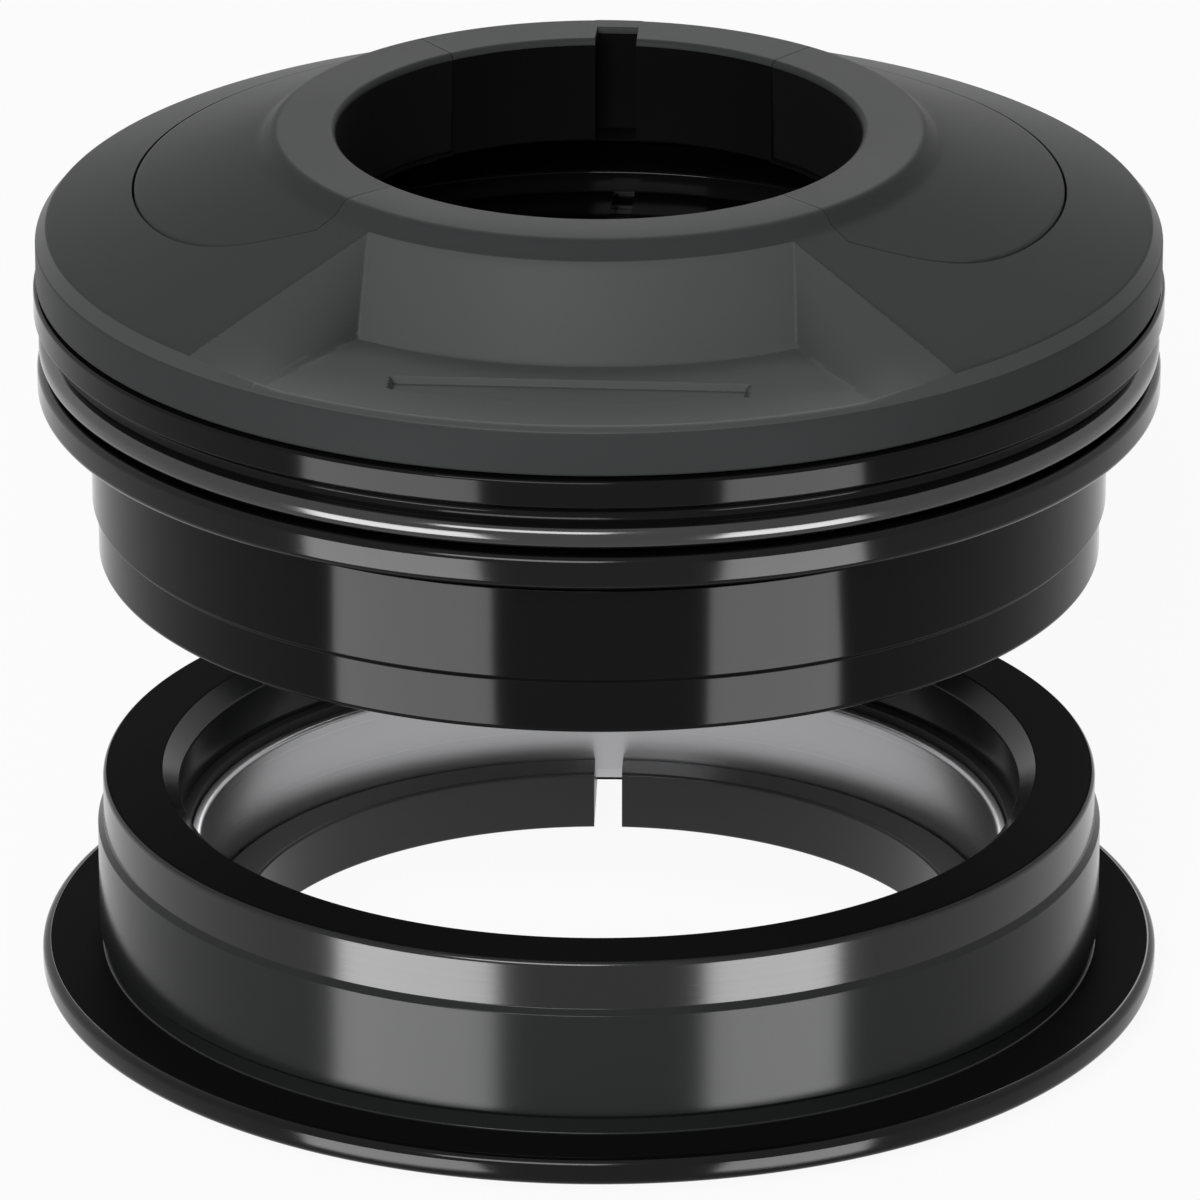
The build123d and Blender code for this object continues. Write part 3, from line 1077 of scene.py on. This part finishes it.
    def headings(self) -> np.ndarray:
        """Lists the cover's columns, close together over the recess and paired at seams and keyway.

        Returns:
            Headings in rising order.
        """
        front = np.arange(-self.flank_heading, self.flank_heading, self.front_step)
        flank = np.arange(self.flank_heading, self.front_heading, self.flank_step)
        plain = np.arange(self.front_heading, FULL_TURN - self.front_heading, self.plain_step)
        plain = np.where(plain > BACK, plain - FULL_TURN, plain)
        marks = []
        outer = math.degrees(math.asin(self.key_width / 2 / self.bore))
        inner = math.degrees(math.atan2(self.key_width / 2, self.key_reach))
        for sign in (side.value for side in Side):
            for end in (-self.half_sector, self.half_sector):
                edge = self.insert_heading + end
                marks += [sign * (edge - self.seam_step), sign * (edge + self.seam_step)]
            marks += [sign * (BACK - outer), sign * (BACK - inner)]
        every = np.concatenate([-flank, front, flank, plain, marks])
        key_clear = np.abs(np.abs(every) - BACK) > outer + self.key_clearance
        far = np.ones(len(every), bool)
        for mark in marks:
            far &= np.abs(every - mark) > self.mark_clearance
        return np.sort(np.concatenate([every[key_clear & far], marks, [BACK]]))

    def bore_at(self, heading: np.ndarray) -> np.ndarray:
        """Gives the bore's radius, wider in the keyway.

        Args:
            heading: Headings.

        Returns:
            A radius for every heading.
        """
        off = np.radians(BACK - np.abs(heading))
        inner = math.atan2(self.key_width / 2, self.key_reach) + TINY
        return np.where(off <= inner, self.key_reach / np.cos(off), self.bore)

    def rim_rows(self) -> np.ndarray:
        """Gives the section from the sleeve's foot up the bore and over the rim to the slope.

        Returns:
            Points as rows of radius and height.
        """
        start = self.head[0] + self.rim_run
        return rounded(
            [
                Corner(self.sleeve, self.sleeve_bottom),
                Corner(self.bore, self.sleeve_bottom, SOFT_ROUNDING),
                Corner(self.bore, self.top, self.bore_round),
                Corner(self.rim, self.top, self.rim_round),
                Corner(*self.head, self.bevel_round),
                Corner(start, float(self.slope(start))),
            ],
            closed=False,
        )

    def side_rows(self) -> np.ndarray:
        """Gives the section from the foot of the slope over the shoulder to the cavity's corner.

        Returns:
            Points as rows of radius and height.
        """
        start = self.foot[0] - self.shoulder_run
        spigot = self.radius - self.spigot_inset
        foot = self.bottom - self.spigot_height
        cavity = spigot - self.spigot_wall
        return rounded(
            [
                Corner(start, float(self.slope(start))),
                Corner(*self.foot, self.shoulder_rounds[0]),
                Corner(self.radius, self.shoulder_z, self.shoulder_rounds[1]),
                Corner(self.radius, self.bottom, self.side_round),
                Corner(spigot, self.bottom, FINE_ROUNDING),
                Corner(spigot, foot, SOFT_ROUNDING),
                Corner(cavity, foot, SOFT_ROUNDING),
                Corner(cavity, float(self.slope(cavity)) - self.wall),
            ],
            closed=False,
        )

    def outer_rows(self, heading: np.ndarray, edge: np.ndarray, slope_end: float) -> np.ndarray:
        """Spreads the slope's rows outside the inserts, close together at the badge slot's edges.

        Args:
            heading: Heading of every column.
            edge: Radius of the inserts' end in every column, as one column of numbers.
            slope_end: Radius of the last row, which is left out.

        Returns:
            Radii, a row of them for every heading.
        """
        slot_end = math.atan2(self.badge_half_length, -self.badge_back)
        turn = np.minimum(np.abs(np.radians(heading)), slot_end)[:, None]
        back = -self.badge_back / np.cos(turn)
        bow = self.badge_bow * (1 - (turn / slot_end) ** 2)
        front = (bow - self.badge_front) / np.cos(turn)
        last = np.full_like(back, slope_end)
        stops = [edge + self.edge_step]
        for stop in (back, back + self.badge_edge, front - self.badge_edge, front, last):
            stops.append(np.maximum(stop, stops[-1] + self.least_step))
        runs = []
        for start, stop, rows in zip(stops, stops[1:], self.slope_rows):
            runs.append(start + (stop - start) * np.linspace(0, 1, rows, endpoint=False)[None, :])
        return np.concatenate(runs, axis=1)

    def rim_grid(self, heading: np.ndarray) -> tuple[np.ndarray, np.ndarray]:
        """Spreads the rim over the columns, squeezed at the keyway and lowered under the inserts.

        Args:
            heading: Heading of every column.

        Returns:
            Radii and heights, a row of each for every heading.
        """
        rim = self.rim_rows()
        bore = self.bore_at(heading)[:, None]
        radius = np.broadcast_to(rim[:, 0], (len(heading), len(rim)))
        squeezed = bore + (radius - self.bore) * (self.rim - bore) / self.rim_width
        radius = np.where((radius < self.rim) & (np.arange(len(rim)) > 0), squeezed, radius)
        height = np.broadcast_to(rim[:, 1], radius.shape)
        lowered = np.where(
            radius < self.sleeve,
            self.sleeve_bottom + (height - self.sleeve_bottom) * self.pocket_share,
            height - self.insert_skin - self.seam,
        )
        return radius, np.where(self.in_insert(heading)[:, None], lowered, height)

    def build(self) -> bpy.types.Object:
        """Makes the cover as one grid: a section for every heading.

        Returns:
            The piece.
        """
        heading = self.headings()
        columns = len(heading)
        turn = np.radians(heading)[:, None]
        side = self.side_rows()
        side_radius, side_height = np.broadcast_to(side.T[:, None], (2, columns, len(side)))
        rim_radius, rim_height = self.rim_grid(heading)
        edge = self.insert_edge(heading)[:, None]
        slope_start, slope_end = self.rim_rows()[-1, 0], side[0, 0]
        pocket_run = np.linspace(0, 1, self.pocket_rows)[None, 1:]
        inner = slope_start + (edge - slope_start) * pocket_run
        pocket_depth = self.insert_skin + self.seam
        sunk = np.where(self.in_insert(heading)[:, None], pocket_depth, 0.0)
        outer = self.outer_rows(heading, edge, slope_end)
        ceiling = np.linspace(side[-1, 0], self.sleeve, self.ceiling_rows)[None, 1:-1]
        ceiling = np.broadcast_to(ceiling, (columns, ceiling.shape[1]))
        radius = np.concatenate([rim_radius, inner, outer, side_radius, ceiling], axis=1)
        heights = [rim_height, self.slope(inner) - sunk, self.slope(outer), side_height]
        height = np.concatenate([*heights, self.slope(ceiling) - self.wall], axis=1)

        # The recess and the badge slot sink the front's top rows, and the ceiling stays below them
        x, y = radius * np.sin(turn), -radius * np.cos(turn)
        cut = self.recess(x, y)
        row = np.arange(radius.shape[1])
        shoulder_rows = int(np.argmax(side[:, 1] < self.shoulder_z))
        top_end = rim_radius.shape[1] + inner.shape[1] + outer.shape[1] + shoulder_rows
        ceiling_start = len(row) - ceiling.shape[1] - 1
        front = np.abs(heading)[:, None] < self.front_heading
        topped = smooth_least(height, cut, self.recess_edge) - self.badge(x, y)
        ceiled = np.minimum(height, cut - self.recess_wall)
        height = np.where(front & (row >= ceiling_start), ceiled, height)
        height = np.where(front & (row < top_end), topped, height)
        faces = grid_faces(columns, len(row), wrap_columns=True)
        points = about_axis(radius, turn, height)
        return mesh_piece("top_cover_shell", points, faces, Body.STEERING_TOP)

    def build_insert(self, side: Side) -> bpy.types.Object:
        """Makes one insert: a skin on the slope and a wall along the bore.

        Args:
            side: Side of the cover that it lies on.

        Returns:
            The piece.
        """
        reach = self.half_sector - math.degrees(self.seam_end / self.rim)
        count = self.insert_columns
        heading = side.value * (self.insert_heading + np.linspace(-reach, reach, count))
        heading = heading if side is Side.RIGHT else heading[::-1]
        bottom = self.sleeve_bottom + self.insert_lift
        rim = self.rim_rows()[1:]
        above = rim[rim[:, 1] > bottom + self.insert_clearance]
        rim = np.concatenate([[[rim[0, 0], bottom]], above])
        rim_radius, rim_height = np.broadcast_to(rim.T[:, None], (2, count, len(rim)))
        edge = self.insert_edge(heading)[:, None] - self.seam
        slope_start = rim[-1, 0]
        outer = slope_start + (edge - slope_start) * np.array(self.insert_rows)[None, :]
        inner_wall = self.sleeve - self.insert_clearance
        under_run = np.linspace(1, 0, self.insert_under_rows)[None, :]
        under = inner_wall + (edge - inner_wall) * under_run
        back = np.full((count, 1), inner_wall)
        radius = np.concatenate([rim_radius, outer, edge, under, back], axis=1)
        height = np.concatenate(
            [
                rim_height,
                self.slope(outer),
                self.slope(edge) - self.insert_edge_drop,
                self.slope(under) - self.insert_skin,
                np.full_like(back, bottom),
            ],
            axis=1,
        )
        points = about_axis(radius, np.radians(heading)[:, None], height)
        faces = grid_faces(count, radius.shape[1], wrap_columns=False)
        return mesh_piece(f"{side.name.lower()}_insert_shell", points, faces, Body.STEERING_TOP)

    def dress(self, effects: SharedEffects) -> None:
        """Builds the cover and its inserts, with the bore painted black as shade, in their nodes'
        places.

        Args:
            effects: Shared node groups.
        """
        bore_top, edge = self.top - self.bore_round, self.radius - self.edge_inset
        zones = (
            # Painted shade: the bore is darkened to black.
            Zone(COVER_BORE_PAINTED_SHADE, 0.0, self.sleeve, self.sleeve_bottom, bore_top),
            # Painted light: the recess and its flanks are lighter than the rest of the cover.
            RecessZone(COVER_RECESS_PAINTED_LIGHT, self),
            RecessZone(COVER_FLANK_PAINTED_LIGHT, self, flanks_only=True),
            # Painted highlight: a lighter band along the shoulder's edge.
            Zone(COVER_EDGE_PAINTED_HIGHLIGHT, self.foot[0], edge, self.shoulder_z, self.foot[1]),
        )
        dress(self.build(), COVER_PLASTIC, effects, self.node, zones)
        # Painted shade: the inserts' bore wall is darkened to black.
        wall = Zone(INSERT_BORE_PAINTED_SHADE, 0.0, self.bore + self.seam, self.sleeve_bottom, bore_top)
        for side in Side:
            node = f"{side.name.lower()}_insert"
            dress(self.build_insert(side), INSERT_PLASTIC, effects, node, (wall,))


@dataclass(frozen=True)
class RecessZone:
    """The faces of the cover's recess, or only its flanks, which take a lighter finish of their own
    as painted light.
    """

    finish: Finish
    cover: TopCover
    flanks_only: bool = False
    margin: float = 0.1

    def holds(self, x: np.ndarray, y: np.ndarray, z: np.ndarray) -> np.ndarray:
        """Tells which places lie on the recess.

        Args:
            x: Places across, in millimetres.
            y: Places along.
            z: Heights.

        Returns:
            A mask of the places.
        """
        cover, recess = self.cover, self.cover.recess(x, y)
        ahead = np.abs(np.degrees(np.arctan2(x, -y))) < cover.front_heading
        cut = recess < cover.slope(np.hypot(x, y))
        held = ahead & cut & (np.abs(recess - cover.badge(x, y) - z) < self.margin)
        if self.flanks_only:
            held &= cover.recess_flank(x, y) > np.maximum(cover.recess_back_wall(x, y), cover.floor)
        return held


@dataclass
class Bearing:
    """One sealed angular bearing. Heights run from the cup's shoulder out towards the flange."""

    end: End
    body: Body
    section: float = 3.8
    height: float = 7.0
    bore_chamfer: float = 0.9
    bore_round: float = 0.25
    step: float = 0.5
    track_height: float = 3.76
    track_run: float = 1.0

    def inner_race(self) -> TurnedPiece:
        """Describes the inner race, the silver band that shows inside the cup.

        Returns:
            The race, from a table of radius, height and rounding.
        """
        node = f"{self.end.value}_bearing_inner_race"
        outer = Extent.of(f"{self.end.value}_bearing_outer_race")
        seat = outer.bottom if self.end is End.UPPER else outer.top
        bore = outer.radius - self.section
        high = Extent.of(node).radius
        low = high - self.track_run
        walls = [
            (bore, self.step, self.bore_round),
            (low, self.step, FINE_ROUNDING),
            (low, self.track_height, FINE_ROUNDING),
            (high, self.track_height + self.track_run, FINE_ROUNDING),
            (high, self.height, FINE_ROUNDING),
            (bore + self.bore_chamfer, self.height, EDGE_ROUNDING),
            (bore, self.height - self.bore_chamfer, EDGE_ROUNDING),
        ]
        inward = self.end.inward
        corners = [Corner(r, seat - inward * h, rounding) for r, h, rounding in walls]
        return TurnedPiece(node, self.body, BEARING_STEEL, corners)

    def dress(self, effects: SharedEffects) -> None:
        """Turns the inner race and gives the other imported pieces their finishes.

        Args:
            effects: Shared node groups.
        """
        self.inner_race().dress(effects)
        for name, finish in (
            ("outer_race", BEARING_STEEL),
            ("balls", BEARING_STEEL),
            ("cage", CAGE_PLASTIC),
            ("upper_seal", SEAL_RUBBER),
            ("lower_seal", SEAL_RUBBER),
        ):
            dress(frame["nodes"][f"{self.end.value}_bearing_{name}"], finish, effects)


@dataclass
class SmallRings:
    """The compression ring and the seals, kept as they are packed."""

    finishes: dict[str, Finish] = field(
        default_factory=lambda: {
            "compression_ring": BLACK_ANODISED,
            "steerer_seal": SEAL_RUBBER,
            "cup_wiper": SEAL_RUBBER,
            "crown_seal": SEAL_RUBBER,
        }
    )

    def dress(self, effects: SharedEffects) -> None:
        """Gives each ring its finish."""
        for node, finish in self.finishes.items():
            dress(frame["nodes"][node], finish, effects)


@dataclass
class Softbox:
    """A soft lamp that faces the object, with sizes in metres.

    One for reflections only adds no plain light.
    """

    name: str
    heading: float
    elevation: float
    distance: float
    width: float
    height: float
    radiance: float
    reflections_only: bool = False

    def build(self, target: Vector) -> None:
        """Hangs the lamp.

        Args:
            target: Point that the lamp faces, in metres.
        """
        lamp = bpy.data.lights.new(self.name, "AREA")
        lamp.shape = "RECTANGLE"
        lamp.size, lamp.size_y = self.width, self.height
        lamp.energy = self.radiance * math.pi * self.width * self.height
        holder = bpy.data.objects.new(self.name, lamp)
        turn, tilt = math.radians(self.heading), math.radians(self.elevation)
        level = math.cos(tilt)
        way = Vector((math.sin(turn) * level, -math.cos(turn) * level, math.sin(tilt)))
        holder.location = target + way * self.distance
        holder.rotation_euler = way.to_track_quat("Z", "Y").to_euler()
        holder.visible_camera = False
        holder.visible_diffuse = not self.reflections_only
        bpy.context.scene.collection.objects.link(holder)


@dataclass(frozen=True)
class Sheet:
    """A level sheet of the floor that runs round from one heading to another."""

    name: str
    radius: float
    drop: float
    start: float
    stop: float
    mirrored: bool
    rim_points: int = 97

    def build(self, paper: bpy.types.Material) -> None:
        """Lays the sheet just below the part.

        Args:
            paper: Its material.
        """
        level = CAD_BOX[0].z - self.drop * MM
        reach = self.radius * MM
        turns = np.radians(np.linspace(self.start, self.stop, self.rim_points))
        rim = [(reach * math.sin(turn), -reach * math.cos(turn), level) for turn in turns]
        whole = self.stop - self.start == FULL_TURN
        points = rim[:-1] if whole else [(0.0, 0.0, level), *rim]
        mesh = bpy.data.meshes.new(self.name)
        mesh.from_pydata(points, [], [tuple(range(len(points)))])
        mesh.materials.append(paper)
        sheet = bpy.data.objects.new(self.name, mesh)
        bpy.context.scene.collection.objects.link(sheet)
        sheet.visible_glossy = self.mirrored


@dataclass
class Studio:
    """Floor, backdrop, lamps and camera."""

    floor_radius: float = 3000.0
    floor_drop: float = 0.04
    mat_radius: float = 29.0
    mat_drop: float = 0.02
    window_heading: float = 52.0
    ambient: float = 0.1
    floor_colour: Colour = (0.86, 0.86, 0.86)
    floor_roughness: float = 0.9
    backdrop_share: float = 0.93
    camera_distance: float = 594.7
    camera_height: float = 260.75
    camera_pitch: float = 22.07
    camera_yaw: float = 3.7
    lens: float = 346.7
    shift_x: float = 1.0 / IMAGE_SIZE
    shift_y: float = 3.6 / IMAGE_SIZE
    clip_start: float = 0.01
    clip_end: float = 20.0
    softboxes: list[Softbox] = field(
        default_factory=lambda: [
            Softbox(
                "back_softbox", heading=BACK, elevation=48.0, distance=0.9,
                width=0.5, height=0.2, radiance=5.4,
            ),
            Softbox(
                "front_softbox", heading=-12.0, elevation=29.0, distance=0.9,
                width=0.5, height=0.3, radiance=13.6,
            ),
            Softbox(
                "back_panel", heading=BACK, elevation=24.0, distance=0.8,
                width=0.3, height=0.2, radiance=3.0, reflections_only=True,
            ),
            Softbox(
                "left_strip", heading=-38.5, elevation=-22.0, distance=0.7,
                width=0.44, height=0.2, radiance=14.5, reflections_only=True,
            ),
            Softbox(
                "right_strip", heading=43.5, elevation=-22.0, distance=0.7,
                width=0.36, height=0.2, radiance=14.5, reflections_only=True,
            ),
        ]
    )

    @staticmethod
    def seen_directly(tree: bpy.types.NodeTree) -> bpy.types.NodeSocket:
        """Adds a mask of the rays that look at the backdrop: camera, glossy and transmission.

        Args:
            tree: Node tree to add to.

        Returns:
            The mask's socket.
        """
        path = tree.nodes.new("ShaderNodeLightPath")
        total = path.outputs["Is Camera Ray"]
        for label in ("Is Glossy Ray", "Is Transmission Ray"):
            add = tree.nodes.new("ShaderNodeMath")
            add.operation = "ADD"
            add.use_clamp = True
            tree.links.new(total, add.inputs[0])
            tree.links.new(path.outputs[label], add.inputs[1])
            total = add.outputs[0]
        return total

    def paper(self) -> bpy.types.Material:
        """Makes the pale paper of the floor, which looks white and keeps a trace of shadow.

        Returns:
            The material.
        """
        material = bpy.data.materials.new("floor_paper")
        material.use_nodes = True
        tree = material.node_tree
        paper = tree.nodes["Principled BSDF"]
        paper.inputs["Base Color"].default_value = (*self.floor_colour, 1.0)
        paper.inputs["Roughness"].default_value = self.floor_roughness
        glow = tree.nodes.new("ShaderNodeEmission")
        share = tree.nodes.new("ShaderNodeMath")
        share.operation = "MULTIPLY"
        share.inputs[1].default_value = self.backdrop_share
        tree.links.new(self.seen_directly(tree), share.inputs[0])
        mix = tree.nodes.new("ShaderNodeMixShader")
        tree.links.new(share.outputs[0], mix.inputs[0])
        tree.links.new(paper.outputs[0], mix.inputs[1])
        tree.links.new(glow.outputs[0], mix.inputs[2])
        tree.links.new(mix.outputs[0], tree.nodes["Material Output"].inputs["Surface"])
        return material

    def build_floor(self) -> None:
        """Lays a mat under the part on a wide floor.

        Reflections look through the floor's front to the two strip lamps below it, as if it were
        glass. The mat and the back of the floor show in them.
        """
        paper, window = self.paper(), self.window_heading
        reach, drop = self.floor_radius, self.floor_drop
        for sheet in (
            Sheet("mat", self.mat_radius, self.mat_drop, 0.0, FULL_TURN, mirrored=True),
            Sheet("front_floor", reach, drop, -window, window, mirrored=False),
            Sheet("back_floor", reach, drop, window, FULL_TURN - window, mirrored=True),
        ):
            sheet.build(paper)

    def build_world(self) -> None:
        """Surrounds the part with a white backdrop that lights it only softly."""
        world = bpy.data.worlds.new("studio")
        bpy.context.scene.world = world
        world.use_nodes = True
        tree = world.node_tree
        soft = tree.nodes["Background"]
        soft.inputs["Color"].default_value = (1.0, 1.0, 1.0, 1.0)
        soft.inputs["Strength"].default_value = self.ambient
        backdrop = tree.nodes.new("ShaderNodeBackground")
        backdrop.inputs["Color"].default_value = (1.0, 1.0, 1.0, 1.0)
        mix = tree.nodes.new("ShaderNodeMixShader")
        tree.links.new(self.seen_directly(tree), mix.inputs[0])
        tree.links.new(soft.outputs[0], mix.inputs[1])
        tree.links.new(backdrop.outputs[0], mix.inputs[2])
        tree.links.new(mix.outputs[0], tree.nodes["World Output"].inputs["Surface"])

    def build_camera(self) -> None:
        """Sets the camera at the photograph's viewing angle."""
        lens = bpy.data.cameras.new("camera")
        lens.lens = self.lens
        lens.shift_x, lens.shift_y = self.shift_x, self.shift_y
        lens.clip_start, lens.clip_end = self.clip_start, self.clip_end
        camera = bpy.data.objects.new("camera", lens)
        yaw = math.radians(self.camera_yaw)
        camera.location = (
            self.camera_distance * math.sin(yaw) * MM,
            -self.camera_distance * math.cos(yaw) * MM,
            self.camera_height * MM,
        )
        camera.rotation_euler = (math.pi / 2 - math.radians(self.camera_pitch), 0.0, yaw)
        bpy.context.scene.collection.objects.link(camera)
        bpy.context.scene.camera = camera

    def build(self) -> None:
        """Builds the whole studio."""
        bpy.context.scene.view_settings.view_transform = "Standard"
        self.build_floor()
        self.build_world()
        middle = (CAD_BOX[0] + CAD_BOX[1]) / 2
        for softbox in self.softboxes:
            softbox.build(middle)
        self.build_camera()


def main() -> None:
    """Dresses every sub-assembly in turn and builds the studio."""
    logging.basicConfig(level=logging.INFO, format="%(name)s: %(message)s")
    effects = SharedEffects()
    for assembly in (
        Cup(End.UPPER, BLACK_ANODISED, BLACK_ANODISED),
        Cup(End.LOWER, SATIN_ANODISED, TURNED_LAND),
        Bearing(End.UPPER, Body.STEERING_TOP),
        Bearing(End.LOWER, Body.CROWN_SIDE),
        CrownRace(),
        SmallRings(),
        CoverBaseRing(),
        TopCover(),
    ):
        assembly.dress(effects)
    Studio().build()


if __name__ == "__main__":
    main()
